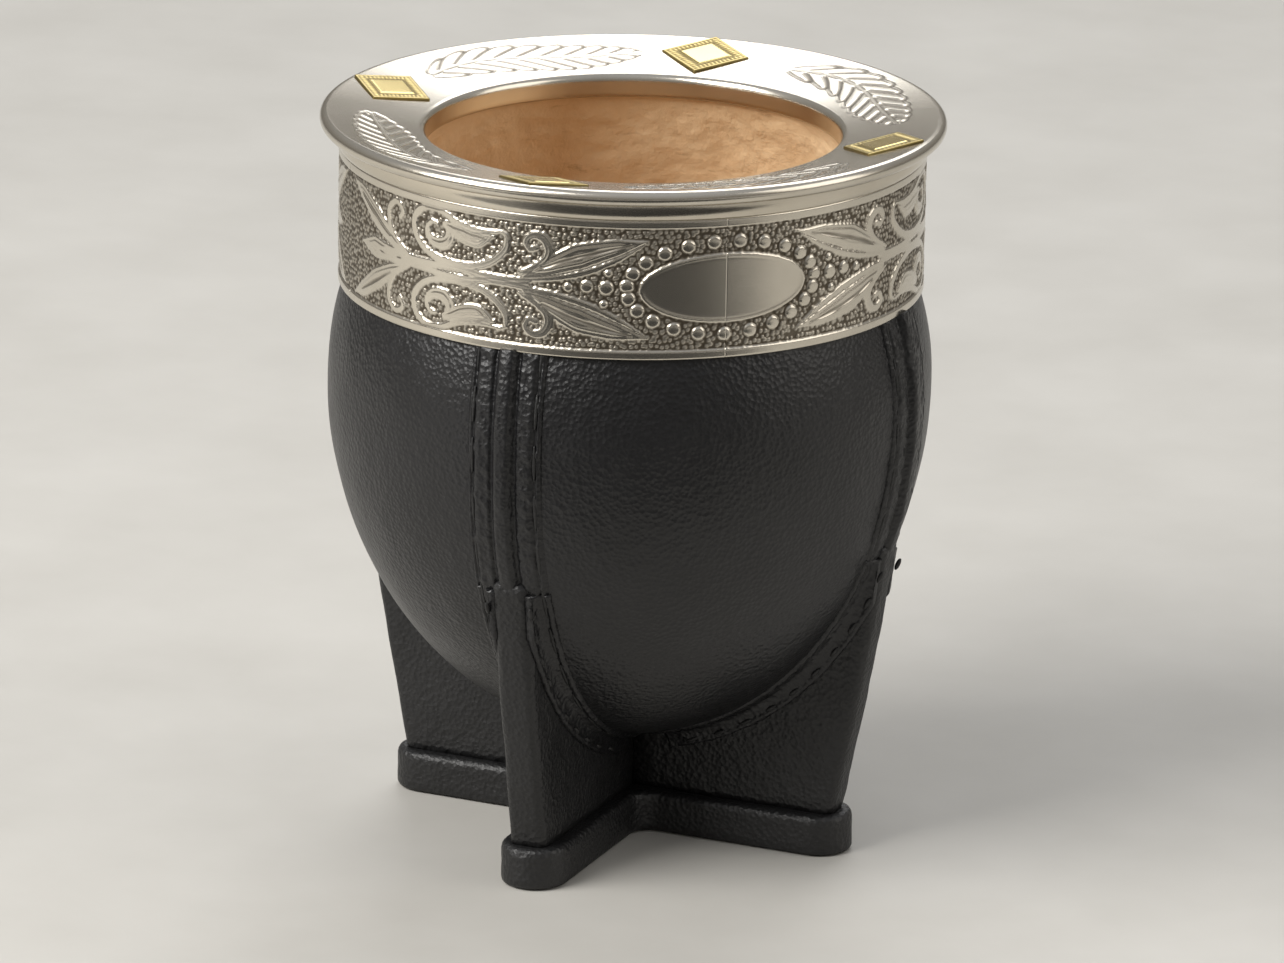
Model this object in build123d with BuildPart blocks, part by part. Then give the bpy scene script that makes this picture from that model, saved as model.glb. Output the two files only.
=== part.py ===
from build123d import *
import os
from math import asin, atan2, cos, degrees, pi, sin, sqrt

# A footed mate cup.  A gourd stands in a black leather sleeve.  Four stitched ribs run down the
# sleeve and turn into four leather fins, which stand on a cross-shaped sole.  A chased metal
# collar closes the rim and carries four small rhombic plaques.
# Origin: centre of the sole's underside.  +Z is the cup's axis.  The fins lie along X and Y.

# ---------------------------------------------------------------- driving dimensions (mm, degrees)
OVERALL_HEIGHT = 104.7        # floor to the top of the rolled rim
RIM_OVERHANG = 2.65           # rolled rim beyond the band
RIM_BEAD = 1.1                # radius of the rolled edge
BAND_RADIUS = 41.35           # outside of the collar's band
BAND_HEIGHT = 19.8
BAND_WALL = 0.7
COLLAR_HEAD = 4.6             # band's top edge to the top of the rim
MOULDING_OUT = 0.45           # swell of the moulding between band and rim
MOUTH_RADIUS = 29.2           # clear radius inside the lip
PLATE_WALL = 0.8
PLATE_DISH = 2.4              # fall of the top plate from the rim to the mouth
LIP_DEPTH = 3.4               # how far the lip turns down into the mouth
LIP_ROUND = 1.1               # outside radius of the lip's turn

BODY_BULGE = 1.45             # widest part of the leather beyond the band
SHOULDER_DROP = 13.8          # band's lower edge down to the widest part
BODY_BOTTOM = 14.2            # underside of the leather at the axis
LEATHER = 1.6
SLEEVE_TUCK = 4.6             # leather hidden under the band
GOURD_WALL = 3.8
MOUTH_SHELF = 2.6             # straight bore of the gourd that the lip stands in

SOLE_THICKNESS = 5.8
SOLE_REACH = 35.3             # axis to the end of a foot
SOLE_WIDTH = 9.6
SOLE_CORNER = 3.0             # inside corners of the cross
SOLE_TOP_ROUND = 0.8
SOLE_FOOT_CHAMFER = 0.3
FIN_THICKNESS = 5.4
FIN_FOOT = 33.4               # outer edge of a fin where it stands on the sole
FIN_TOP = 46.0                # height at which a fin runs into its rib
FIN_EDGE = 1.2                # rounding of a fin's outer edge

FLANGE_HALF_WIDTH = 5.7       # stitched strip each side of a rib
FLANGE_RISE = 0.8
WELT_WIDTH = 2.8
WELT_RISE = 1.3
TURN_UP = 2.9                 # how far the strip climbs the fin's face
TURN_UP_WALL = 0.7
TURN_UP_INSET = 0.4           # the climbing strip stays this far inside the fin's outer edge

PLAQUE_LENGTH = 11.7          # radial diagonal
PLAQUE_WIDTH = 13.0           # diagonal along the rim
PLAQUE_WALL = 0.4
PLAQUE_FIELD = 0.62           # raised centre as a share of the whole rhombus
PLAQUE_FIELD_RISE = 0.15

PLAQUE_INSET = 0.4            # plaque's middle beyond the middle of the plate

FIT = 0.15                    # clearance between curved faces that lie on each other
SEAT = 0.02                   # clearance between flat faces that lie on each other

OVAL_POINTS = 5               # spans of each spline that follows a quarter oval

LEG_ANGLES = [270, 0, 90, 180]
PLAQUE_LEADS = [4.5, 3.5, 7.5, 1.5]   # each plaque sits a few degrees past its fin

os.makedirs("parts", exist_ok=True)

# ---------------------------------------------------------------- worked-out sizes
RIM_RADIUS = BAND_RADIUS + RIM_OVERHANG
RIM_CENTRE_R = RIM_RADIUS - RIM_BEAD
RIM_CENTRE_Z = OVERALL_HEIGHT - RIM_BEAD
BAND_TOP = OVERALL_HEIGHT - COLLAR_HEAD
BAND_BOTTOM = BAND_TOP - BAND_HEIGHT
BAND_INSIDE = BAND_RADIUS - BAND_WALL
BODY_RADIUS = BAND_RADIUS + BODY_BULGE
BODY_WIDEST = BAND_BOTTOM - SHOULDER_DROP
BODY_DEPTH = BODY_WIDEST - BODY_BOTTOM

PLATE_EDGE = MOUTH_RADIUS + LIP_ROUND            # where the plate starts to turn into the lip
PLATE_SLOPE = PLATE_DISH / (RIM_CENTRE_R - PLATE_EDGE)


def plate_top(radius):
    """Height of the dished plate's upper face at a radius."""
    return OVERALL_HEIGHT - (RIM_CENTRE_R - radius) * PLATE_SLOPE


LIP_BOTTOM = plate_top(PLATE_EDGE) - LIP_DEPTH
GOURD_TOP = plate_top(PLATE_EDGE) - PLATE_WALL - FIT
GOURD_MOUTH = MOUTH_RADIUS + PLATE_WALL + FIT


def shoulder_depth(radius, radius_at_band):
    """Half axis of the ellipse that falls from radius to radius_at_band over the shoulder."""
    return SHOULDER_DROP / sqrt(1 - (radius_at_band / radius) ** 2)


def ellipse_radius(radius, depth, drop):
    """Radius of an ellipse at a height that is drop away from its widest part."""
    return radius * sqrt(max(0.0, 1 - (drop / depth) ** 2))


SLEEVE_SHOULDER = shoulder_depth(BODY_RADIUS, BAND_INSIDE - FIT)
SLEEVE_TOP = BAND_BOTTOM + SLEEVE_TUCK


def oval(radius, depth, shoulder, rise):
    """Half outline of an egg from its lowest point, past its widest, to a height rise above that.

    The lower part is a quarter ellipse, the upper part the start of a flatter or taller one.
    """
    top_turn = asin(rise / shoulder)
    lower = [(radius * sin(t), BODY_WIDEST - depth * cos(t)) for t in turns(0, pi / 2)]
    upper = [(radius * cos(t), BODY_WIDEST + shoulder * sin(t)) for t in turns(0, top_turn)]
    top_tangent = (-radius * sin(top_turn), shoulder * cos(top_turn))
    with BuildLine() as line:
        Spline(*lower, tangents=[(1, 0), (0, 1)])
        Spline(*upper, tangents=[(0, 1), top_tangent])
    return line.line


def turns(start, end):
    """Angles from start to end in OVAL_POINTS equal steps."""
    return [start + (end - start) * i / OVAL_POINTS for i in range(OVAL_POINTS + 1)]


def body_outline(offset, top):
    """Closed half section of the body grown by offset, from the axis up to the height top."""
    radius = BODY_RADIUS + offset
    shoulder = SLEEVE_SHOULDER + offset
    top_radius = ellipse_radius(radius, shoulder, top - BODY_WIDEST)
    with BuildLine() as line:
        add(oval(radius, BODY_DEPTH + offset, shoulder, top - BODY_WIDEST))
        Polyline((top_radius, top), (0, top), (0, BODY_BOTTOM - offset))
    return line.line


# ---------------------------------------------------------------- gourd
gourd_radius = BODY_RADIUS - LEATHER - FIT
gourd_depth = BODY_DEPTH - LEATHER - FIT
gourd_shoulder = SLEEVE_SHOULDER - LEATHER - FIT
neck_rise = SHOULDER_DROP + SLEEVE_TUCK
gourd_neck = ellipse_radius(gourd_radius, gourd_shoulder, neck_rise)
hollow_radius = gourd_radius - GOURD_WALL
hollow_depth = gourd_depth - GOURD_WALL
shelf_z = GOURD_TOP - MOUTH_SHELF
hollow_shoulder = (shelf_z - BODY_WIDEST) / sqrt(1 - (GOURD_MOUTH / hollow_radius) ** 2)

with BuildPart() as gourd:
    with BuildSketch(Plane.XZ):
        with BuildLine():
            add(oval(gourd_radius, gourd_depth, gourd_shoulder, neck_rise))
            Polyline(
                (gourd_neck, SLEEVE_TOP),
                (gourd_neck, GOURD_TOP),
                (0, GOURD_TOP),
                (0, BODY_WIDEST - gourd_depth),
            )
        make_face()
    revolve(axis=Axis.Z)
    with BuildSketch(Plane.XZ):
        with BuildLine():
            add(oval(hollow_radius, hollow_depth, hollow_shoulder, shelf_z - BODY_WIDEST))
            Polyline(
                (GOURD_MOUTH, shelf_z),
                (GOURD_MOUTH, OVERALL_HEIGHT),
                (0, OVERALL_HEIGHT),
                (0, BODY_WIDEST - hollow_depth),
            )
        make_face()
    revolve(axis=Axis.Z, mode=Mode.SUBTRACT)
gourd.part.label = "gourd"

# ---------------------------------------------------------------- leather sleeve
with BuildPart() as leather_sleeve:
    with BuildSketch(Plane.XZ):
        add(body_outline(0, SLEEVE_TOP))
        make_face()
    revolve(axis=Axis.Z)
    with BuildSketch(Plane.XZ):
        add(body_outline(-LEATHER, OVERALL_HEIGHT - COLLAR_HEAD))
        make_face()
    revolve(axis=Axis.Z, mode=Mode.SUBTRACT)
leather_sleeve.part.label = "leather_sleeve"

# ---------------------------------------------------------------- one fin, lying along +X
fin_half = FIN_THICKNESS / 2
fin_top_radius = ellipse_radius(BODY_RADIUS, BODY_DEPTH, BODY_WIDEST - FIN_TOP) + WELT_RISE
strip_reach = BODY_RADIUS + WELT_RISE + FIN_THICKNESS



def fin_elevation(inset):
    """Side outline of a fin, its leaning outer edge and its top drawn in by inset."""
    with BuildLine() as line:
        Polyline(
            (0, SOLE_THICKNESS),
            (FIN_FOOT - inset, SOLE_THICKNESS),
            (fin_top_radius - inset, FIN_TOP - inset),
            (fin_half, FIN_TOP - inset),
            (0, BODY_WIDEST),
            close=True,
        )
    return line.line


with BuildPart() as fin_master:
    # plan: a slab with a mitred inner end, so that four fins meet on the axis
    with BuildSketch(Plane.XY.offset(SOLE_THICKNESS + SEAT)):
        with BuildLine():
            Polyline(
                (FIT, 0),
                (fin_half + FIT, fin_half),
                (strip_reach, fin_half),
                (strip_reach, -fin_half),
                (fin_half + FIT, -fin_half),
                close=True,
            )
        make_face()
    extrude(amount=OVERALL_HEIGHT)
    # elevation: leaning outer edge, flat foot, top hidden in the rib
    with BuildSketch(Plane.XZ):
        add(fin_elevation(0))
        make_face()
    extrude(amount=FIN_THICKNESS, both=True, mode=Mode.INTERSECT)
    outer_edges = (
        fin_master.edges()
        .filter_by(lambda e: e.center().X > SOLE_WIDTH and abs((e @ 1 - e @ 0).Z) > FIN_TOP / 2)
        .sort_by(Axis.X)[-2:]
    )
    fillet(outer_edges, radius=min(FIN_EDGE, 0.45 * FIN_THICKNESS))
    with BuildSketch(Plane.XZ):
        add(body_outline(FIT, SLEEVE_TOP))
        make_face()
    revolve(axis=Axis.Z, mode=Mode.SUBTRACT)

# ---------------------------------------------------------------- one rib, lying along +X
def body_strip(offset, half_width, low, high):
    """The part of the body grown by offset that lies within half_width of the XZ plane, on +X."""
    with BuildPart() as strip:
        with BuildSketch(Plane.XZ):
            add(body_outline(offset, BAND_BOTTOM - SEAT))
            make_face()
        revolve(axis=Axis.Z)
        with BuildSketch(Plane.XY.offset(low)):
            with Locations((strip_reach / 2 + FLANGE_HALF_WIDTH + FIT, 0)):
                Rectangle(strip_reach, 2 * half_width)
        extrude(amount=high - low, mode=Mode.INTERSECT)
    return strip.part


# the parts of the strip that climb the fin's two faces stay inside the fin's own outline
with BuildPart() as turn_up:
    add(body_strip(FIT + TURN_UP, fin_half + FIT + TURN_UP_WALL, SOLE_THICKNESS, FIN_TOP))
    with BuildSketch(Plane.XZ):
        add(fin_elevation(TURN_UP_INSET))
        make_face()
    extrude(amount=FIN_THICKNESS, both=True, mode=Mode.INTERSECT)

with BuildPart() as rib_master:
    add(body_strip(FIT + FLANGE_RISE, FLANGE_HALF_WIDTH, SOLE_THICKNESS, OVERALL_HEIGHT))
    add(turn_up.part)
    add(body_strip(FIT + WELT_RISE, WELT_WIDTH / 2, FIN_TOP + SEAT, OVERALL_HEIGHT))
    with BuildSketch(Plane.XZ):
        add(body_outline(FIT, SLEEVE_TOP))
        make_face()
    revolve(axis=Axis.Z, mode=Mode.SUBTRACT)
    with BuildSketch(Plane.XY):
        with Locations((strip_reach / 2, 0)):
            Rectangle(2 * strip_reach, FIN_THICKNESS + 2 * FIT)
    extrude(amount=FIN_TOP + SEAT, mode=Mode.SUBTRACT)

# ---------------------------------------------------------------- one plaque, lying along +X
plaque_slope = degrees(atan2(PLATE_SLOPE, 1))
plaque_radius = (RIM_CENTRE_R + PLATE_EDGE) / 2 + PLAQUE_INSET
plaque_lift = (sqrt(plaque_radius**2 + (PLAQUE_WIDTH / 2) ** 2) - plaque_radius) * PLATE_SLOPE + SEAT
plaque_plane = Plane(
    origin=(plaque_radius, 0, plate_top(plaque_radius) + plaque_lift),
    x_dir=(1, 0, PLATE_SLOPE),
    z_dir=(-PLATE_SLOPE, 0, 1),
)


def rhombus(length, width):
    """Four corners of a rhombus, its first diagonal along X."""
    return [(length / 2, 0), (0, width / 2), (-length / 2, 0), (0, -width / 2)]


with BuildPart() as plaque_master:
    with BuildSketch(plaque_plane):
        with BuildLine():
            Polyline(*rhombus(PLAQUE_LENGTH, PLAQUE_WIDTH), close=True)
        make_face()
    extrude(amount=PLAQUE_WALL)
    with BuildSketch(plaque_plane.offset(PLAQUE_WALL)):
        with BuildLine():
            Polyline(*rhombus(PLAQUE_LENGTH * PLAQUE_FIELD, PLAQUE_WIDTH * PLAQUE_FIELD), close=True)
        make_face()
    extrude(amount=PLAQUE_FIELD_RISE)

# ---------------------------------------------------------------- the four of each
for number, (angle, lead) in enumerate(zip(LEG_ANGLES, PLAQUE_LEADS), 1):
    with BuildPart() as fin:
        add(fin_master.part, rotation=(0, 0, angle))
    fin.part.label = f"fin_{number}"
    export_step(fin.part, f"parts/fin_{number}.step")
    with BuildPart() as rib:
        add(rib_master.part, rotation=(0, 0, angle))
    rib.part.label = f"rib_{number}"
    export_step(rib.part, f"parts/rib_{number}.step")
    with BuildPart() as plaque:
        add(plaque_master.part, rotation=(0, 0, angle + lead))
    plaque.part.label = f"plaque_{number}"
    export_step(plaque.part, f"parts/plaque_{number}.step")

# ---------------------------------------------------------------- cross-shaped sole
with BuildPart() as sole:
    with BuildSketch(Plane.XY) as sole_plan:
        with PolarLocations(0, 2, angular_range=180):
            SlotOverall(2 * SOLE_REACH, SOLE_WIDTH)
        inner_corners = sole_plan.vertices().sort_by(lambda v: abs(v.X) + abs(v.Y))[:4]
        fillet(inner_corners, radius=SOLE_CORNER)
    extrude(amount=SOLE_THICKNESS)
    fillet(sole.faces().sort_by(Axis.Z)[-1].edges(), radius=SOLE_TOP_ROUND)
    chamfer(sole.faces().sort_by(Axis.Z)[0].edges(), length=SOLE_FOOT_CHAMFER)
sole.part.label = "sole"

# ---------------------------------------------------------------- collar
with BuildPart() as collar_band:
    with BuildSketch(Plane.XZ):
        with Locations((BAND_INSIDE, BAND_BOTTOM)):
            Rectangle(BAND_WALL, BAND_HEIGHT, align=(Align.MIN, Align.MIN))
    revolve(axis=Axis.Z)
collar_band.part.label = "collar_band"

moulding_top = plate_top(BAND_INSIDE) - PLATE_WALL - SEAT
with BuildPart() as collar_moulding:
    # a low convex ring that fills the corner between the band and the rolled rim
    with BuildSketch(Plane.XZ):
        with BuildLine():
            Polyline(
                (BAND_RADIUS, BAND_TOP + SEAT),
                (BAND_INSIDE, BAND_TOP + SEAT),
                (BAND_INSIDE, moulding_top),
                (BAND_RADIUS, moulding_top),
            )
            ThreePointArc(
                (BAND_RADIUS, moulding_top),
                (BAND_RADIUS + MOULDING_OUT, (BAND_TOP + SEAT + moulding_top) / 2),
                (BAND_RADIUS, BAND_TOP + SEAT),
            )
        make_face()
    revolve(axis=Axis.Z)
collar_moulding.part.label = "collar_moulding"

lip_turn_z = plate_top(PLATE_EDGE) - LIP_ROUND
with BuildPart() as collar_plate:
    with BuildSketch(Plane.XZ):
        # dished plate
        with BuildLine():
            Polyline(
                (PLATE_EDGE, plate_top(PLATE_EDGE)),
                (RIM_CENTRE_R, OVERALL_HEIGHT),
                (RIM_CENTRE_R, OVERALL_HEIGHT - PLATE_WALL),
                (PLATE_EDGE, plate_top(PLATE_EDGE) - PLATE_WALL),
                close=True,
            )
        make_face()
        # rolled rim
        with Locations((RIM_CENTRE_R, RIM_CENTRE_Z)):
            Circle(RIM_BEAD)
        # lip: a quarter turn down into the mouth, and a short straight tube
        with BuildLine():
            RadiusArc((MOUTH_RADIUS, lip_turn_z), (PLATE_EDGE, plate_top(PLATE_EDGE)), LIP_ROUND)
            Polyline(
                (PLATE_EDGE, plate_top(PLATE_EDGE)),
                (PLATE_EDGE, plate_top(PLATE_EDGE) - PLATE_WALL),
                (MOUTH_RADIUS + PLATE_WALL, lip_turn_z),
                (MOUTH_RADIUS + PLATE_WALL, LIP_BOTTOM),
                (MOUTH_RADIUS, LIP_BOTTOM),
                (MOUTH_RADIUS, lip_turn_z),
            )
        make_face()
    revolve(axis=Axis.Z)
collar_plate.part.label = "collar_plate"

for piece in (gourd, leather_sleeve, sole, collar_band, collar_moulding, collar_plate):
    export_step(piece.part, f"parts/{piece.part.label}.step")
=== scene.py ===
# %% [markdown]
# # A footed mate cup
#
# The real cup is a dried gourd in a sleeve of black leather.  Four ribs are stitched down the
# sleeve and turn into four fins, and the fins stand on a cross-shaped sole.  A chased collar of
# nickel silver closes the rim and carries four small gold rhombuses.
#
# The frame is loaded first.  Every size below is read from it or named beside the piece that
# needs it, in millimetres, and is turned into Blender's metres when a mesh is made.

# %% Load the frame
import math

import bpy
import numpy as np
from mathutils import Matrix, Vector


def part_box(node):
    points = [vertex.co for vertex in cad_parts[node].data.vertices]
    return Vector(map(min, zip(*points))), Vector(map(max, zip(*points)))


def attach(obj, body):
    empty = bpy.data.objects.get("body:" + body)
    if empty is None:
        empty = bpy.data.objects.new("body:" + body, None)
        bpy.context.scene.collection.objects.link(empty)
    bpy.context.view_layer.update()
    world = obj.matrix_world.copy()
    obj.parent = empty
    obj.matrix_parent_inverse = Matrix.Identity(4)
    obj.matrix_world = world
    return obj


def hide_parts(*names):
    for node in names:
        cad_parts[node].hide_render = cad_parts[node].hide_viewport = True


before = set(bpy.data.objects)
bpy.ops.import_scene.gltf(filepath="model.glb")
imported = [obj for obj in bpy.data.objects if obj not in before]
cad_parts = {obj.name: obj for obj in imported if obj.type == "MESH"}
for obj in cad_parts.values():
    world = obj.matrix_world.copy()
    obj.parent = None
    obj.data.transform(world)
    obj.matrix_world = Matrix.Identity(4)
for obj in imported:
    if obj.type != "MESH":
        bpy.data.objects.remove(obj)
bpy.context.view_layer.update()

MM = 0.001
TAU = 2 * math.pi


def node_box(node):
    """Lowest and highest corner of a node of the frame, in millimetres."""
    low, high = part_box(node)
    return np.array(low) / MM, np.array(high) / MM


RIM_R = node_box("collar_plate")[1][0]
RIM_TOP = node_box("collar_plate")[1][2]
LIP_LOW = node_box("collar_plate")[0][2]
BAND_R = node_box("collar_band")[1][0]
BAND_LOW = node_box("collar_band")[0][2]
BAND_HIGH = node_box("collar_band")[1][2]
BODY_R = node_box("leather_sleeve")[1][0]
BODY_LOW = node_box("leather_sleeve")[0][2]
SLEEVE_TOP = node_box("leather_sleeve")[1][2]
SOLE_TOP = node_box("sole")[1][2]
SOLE_REACH = node_box("sole")[1][0]
FIN_TOP = node_box("fin_2")[1][2]
FIN_TOP_R = node_box("fin_2")[1][0]
FIN_HALF = node_box("fin_2")[1][1]
print("rim radius", round(RIM_R, 2), "band", round(BAND_R, 2), "body", round(BODY_R, 2))

# %% [markdown]
# ## Turning arrays into meshes
#
# Nearly every piece here is a grid of points: round a turned form, along a strip, or over a
# patch of relief.  Numpy works such a grid out in one go, and one helper turns it into a mesh.
# The helper measures the volume that the faces enclose, because a negative volume means that
# they point inwards, and then it turns them round.

# %% Mesh helpers
def grid_quads(rows, cols, wrap_cols=False, start=0):
    """Faces of a grid of rows x cols points, numbered row by row."""
    r = np.arange(rows - 1)[:, None]
    c = np.arange(cols if wrap_cols else cols - 1)[None, :]
    n = (c + 1) % cols
    quads = np.stack([r * cols + c, r * cols + n, (r + 1) * cols + n, (r + 1) * cols + c], -1)
    return (quads.reshape(-1, 4) + start).tolist()


def enclosed(verts, faces):
    """Signed volume inside the faces."""
    total = 0.0
    by_size = {}
    for face in faces:
        by_size.setdefault(len(face), []).append(face)
    for size, group in by_size.items():
        index = np.array(group)
        for k in range(1, size - 1):
            a, b, c = verts[index[:, 0]], verts[index[:, k]], verts[index[:, k + 1]]
            total += np.einsum("ij,ij->i", a, np.cross(b, c)).sum() / 6
    return total


def add_piece(name, verts, faces, material, nodes, smooth=True, attributes=None):
    """A finished piece: mesh, material, body and the nodes that it stands for."""
    verts = np.asarray(verts, dtype=float)
    if enclosed(verts, faces) < 0:
        faces = [list(reversed(face)) for face in faces]
    mesh = bpy.data.meshes.new(name)
    mesh.from_pydata((verts * MM).tolist(), [], faces)
    for key, values in (attributes or {}).items():
        layer = mesh.attributes.new(key, "FLOAT", "POINT")
        layer.data.foreach_set("value", np.asarray(values, dtype=np.float32))
    mesh.update()
    if smooth:
        mesh.shade_smooth()
    piece = bpy.data.objects.new(name, mesh)
    bpy.context.collection.objects.link(piece)
    return dress(piece, material, nodes)


def dress(piece, material, nodes):
    """Gives a piece its material, its body and the nodes that it stands for."""
    piece.data.materials.clear()
    piece.data.materials.append(material)
    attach(piece, "root")
    if nodes:
        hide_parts(*nodes)
    print(piece.name, len(piece.data.polygons), "faces")
    return piece


def lathe(outline, columns, swell=None):
    """Turns a closed half outline (radius, height) about the axis.

    An outline that starts and ends on the axis gets one point at each pole.  swell moves the
    points out along their radius.
    """
    outline = np.asarray(outline, dtype=float)
    angle = np.linspace(0, TAU, columns, endpoint=False)
    poles = outline[0, 0] < 1e-6 and outline[-1, 0] < 1e-6
    ring = outline[1:-1] if poles else outline
    radius = ring[:, 0][:, None] + np.zeros(columns)[None, :]
    height = ring[:, 1][:, None] + np.zeros(columns)[None, :]
    if swell is not None:
        radius, height = swell(radius, height, angle[None, :] + np.zeros_like(radius))
    verts = np.stack([radius * np.sin(angle), -radius * np.cos(angle), height], -1).reshape(-1, 3)
    rows = len(ring)
    faces = grid_quads(rows, columns, wrap_cols=True)
    nxt = (np.arange(columns) + 1) % columns
    last = (rows - 1) * columns
    if poles:
        verts = np.vstack([verts, [0, 0, outline[0, 1]], [0, 0, outline[-1, 1]]])
        low, high = len(verts) - 2, len(verts) - 1
        faces += [[low, int(n), int(c)] for c, n in enumerate(nxt)]
        faces += [[high, last + int(c), last + int(n)] for c, n in enumerate(nxt)]
    else:
        faces += [[last + int(c), last + int(n), int(n), int(c)] for c, n in enumerate(nxt)]
    return verts, faces


def wave_noise(points, scale, seed, octaves=3):
    """Smooth noise from about -1 to 1 made of random sine waves, the same on every run."""
    rng = np.random.default_rng(seed)
    total = np.zeros(points.shape[:-1])
    weight = 1.0
    for octave in range(octaves):
        for _ in range(7):
            direction = rng.normal(size=points.shape[-1])
            direction *= TAU * 2**octave / (scale * np.linalg.norm(direction))
            total += weight * np.sin(points @ direction + rng.uniform(0, TAU)) / 4
        weight *= 0.5
    return total


# %% [markdown]
# ## Materials
#
# Four finishes make the cup: black leather, nickel silver, gold and dry gourd.  Each is built
# from a few noise textures on Object coordinates, which stay still on the piece.  The chased
# metal also reads an attribute called depth, which the relief writes into its mesh, so that the
# dark patina sits in the recesses just as it does on silver that has been oxidised and wiped.

# %% Material helpers
def new_material(name):
    """An empty node material and its Principled shader."""
    material = bpy.data.materials.new(name)
    material.use_nodes = True
    tree = material.node_tree
    return material, tree, tree.nodes["Principled BSDF"]


def noise(tree, scale, detail=4.0, roughness=0.55, stretch=(1, 1, 1)):
    """A noise texture on Object coordinates; scale is in cycles per metre."""
    where = tree.nodes.new("ShaderNodeTexCoord")
    turn = tree.nodes.new("ShaderNodeMapping")
    turn.inputs["Scale"].default_value = stretch
    node = tree.nodes.new("ShaderNodeTexNoise")
    node.inputs["Scale"].default_value = scale
    node.inputs["Detail"].default_value = detail
    node.inputs["Roughness"].default_value = roughness
    tree.links.new(where.outputs["Object"], turn.inputs["Vector"])
    tree.links.new(turn.outputs["Vector"], node.inputs["Vector"])
    return node.outputs["Fac"]


def cells(tree, scale, feature="F1"):
    """A Voronoi texture on Object coordinates."""
    where = tree.nodes.new("ShaderNodeTexCoord")
    node = tree.nodes.new("ShaderNodeTexVoronoi")
    node.feature = feature
    node.inputs["Scale"].default_value = scale
    tree.links.new(where.outputs["Object"], node.inputs["Vector"])
    return node.outputs["Distance"]


def ramp(tree, value, stops):
    """A colour ramp; stops are (position, colour)."""
    node = tree.nodes.new("ShaderNodeValToRGB")
    node.color_ramp.elements[0].position = stops[0][0]
    node.color_ramp.elements[0].color = (*stops[0][1], 1)
    node.color_ramp.elements[1].position = stops[-1][0]
    node.color_ramp.elements[1].color = (*stops[-1][1], 1)
    for position, colour in stops[1:-1]:
        node.color_ramp.elements.new(position).color = (*colour, 1)
    tree.links.new(value, node.inputs["Fac"])
    return node.outputs["Color"]


def span(tree, value, low, high, in_low=0.0, in_high=1.0):
    """Maps a value from one range to another."""
    node = tree.nodes.new("ShaderNodeMapRange")
    node.inputs["From Min"].default_value = in_low
    node.inputs["From Max"].default_value = in_high
    node.inputs["To Min"].default_value = low
    node.inputs["To Max"].default_value = high
    tree.links.new(value, node.inputs["Value"])
    return node.outputs["Result"]


def maths(tree, operation, first, second):
    """One Math node; each side is a socket or a number."""
    node = tree.nodes.new("ShaderNodeMath")
    node.operation = operation
    for socket, value in zip(node.inputs, (first, second)):
        if isinstance(value, (int, float)):
            socket.default_value = value
        else:
            tree.links.new(value, socket)
    return node.outputs[0]


def bump(tree, shader, height, distance, strength=1.0):
    """A bump of so many metres from a height socket."""
    node = tree.nodes.new("ShaderNodeBump")
    node.inputs["Distance"].default_value = distance
    node.inputs["Strength"].default_value = strength
    tree.links.new(height, node.inputs["Height"])
    tree.links.new(node.outputs["Normal"], shader.inputs["Normal"])


def attribute(tree, name):
    """The value of a mesh attribute."""
    node = tree.nodes.new("ShaderNodeAttribute")
    node.attribute_name = name
    return node.outputs["Fac"]


# %% Leather
def make_leather(name, dark, light, grain, rough):
    """Black satin leather: fine pebbled grain, slow changes of tone and gloss."""
    material, tree, shader = new_material(name)
    tone = noise(tree, 60, 5)
    tree.links.new(ramp(tree, tone, [(0.3, dark), (0.7, light)]), shader.inputs["Base Color"])
    tree.links.new(span(tree, noise(tree, 140, 4), rough - 0.05, rough + 0.09), shader.inputs["Roughness"])
    pores = maths(tree, "MULTIPLY", cells(tree, 1500), 0.7)
    crease = maths(tree, "MULTIPLY", noise(tree, 420, 6, 0.6), 1.0)
    bump(tree, shader, maths(tree, "ADD", pores, crease), grain * MM)
    shader.inputs["Specular IOR Level"].default_value = 0.5
    return material


LEATHER = make_leather("black_leather", (0.0035, 0.0035, 0.0042), (0.007, 0.007, 0.008), 0.16, 0.36)
EDGE_LEATHER = make_leather("fin_leather", (0.005, 0.005, 0.0053), (0.009, 0.009, 0.0095), 0.20, 0.44)
THREAD = make_leather("black_thread", (0.006, 0.006, 0.006), (0.012, 0.012, 0.012), 0.10, 0.5)

# %% Metals
def make_metal(name, clean, dull, patina, rough, use_depth):
    """Polished or chased metal with patina where the depth attribute is low."""
    material, tree, shader = new_material(name)
    shader.inputs["Metallic"].default_value = 1.0
    clouds = ramp(tree, noise(tree, 90, 5), [(0.3, dull), (0.7, clean)])
    if use_depth:
        wear = maths(tree, "ADD", attribute(tree, "depth"), span(tree, noise(tree, 500, 4), -0.12, 0.12))
        mix = tree.nodes.new("ShaderNodeMix")
        mix.data_type = "RGBA"
        tree.links.new(span(tree, wear, 0.0, 1.0, 0.1, 0.75), mix.inputs["Factor"])
        mix.inputs["A"].default_value = (*patina, 1)
        tree.links.new(clouds, mix.inputs["B"])
        tree.links.new(mix.outputs["Result"], shader.inputs["Base Color"])
        tree.links.new(span(tree, wear, rough + 0.25, rough, 0.1, 0.8), shader.inputs["Roughness"])
    else:
        tree.links.new(clouds, shader.inputs["Base Color"])
        speckle = span(tree, noise(tree, 300, 5), rough - 0.04, rough + 0.05)
        tree.links.new(speckle, shader.inputs["Roughness"])
    scratches = noise(tree, 900, 3, 0.6, (1, 1, 6))
    bump(tree, shader, scratches, 0.004 * MM)
    return material


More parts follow.
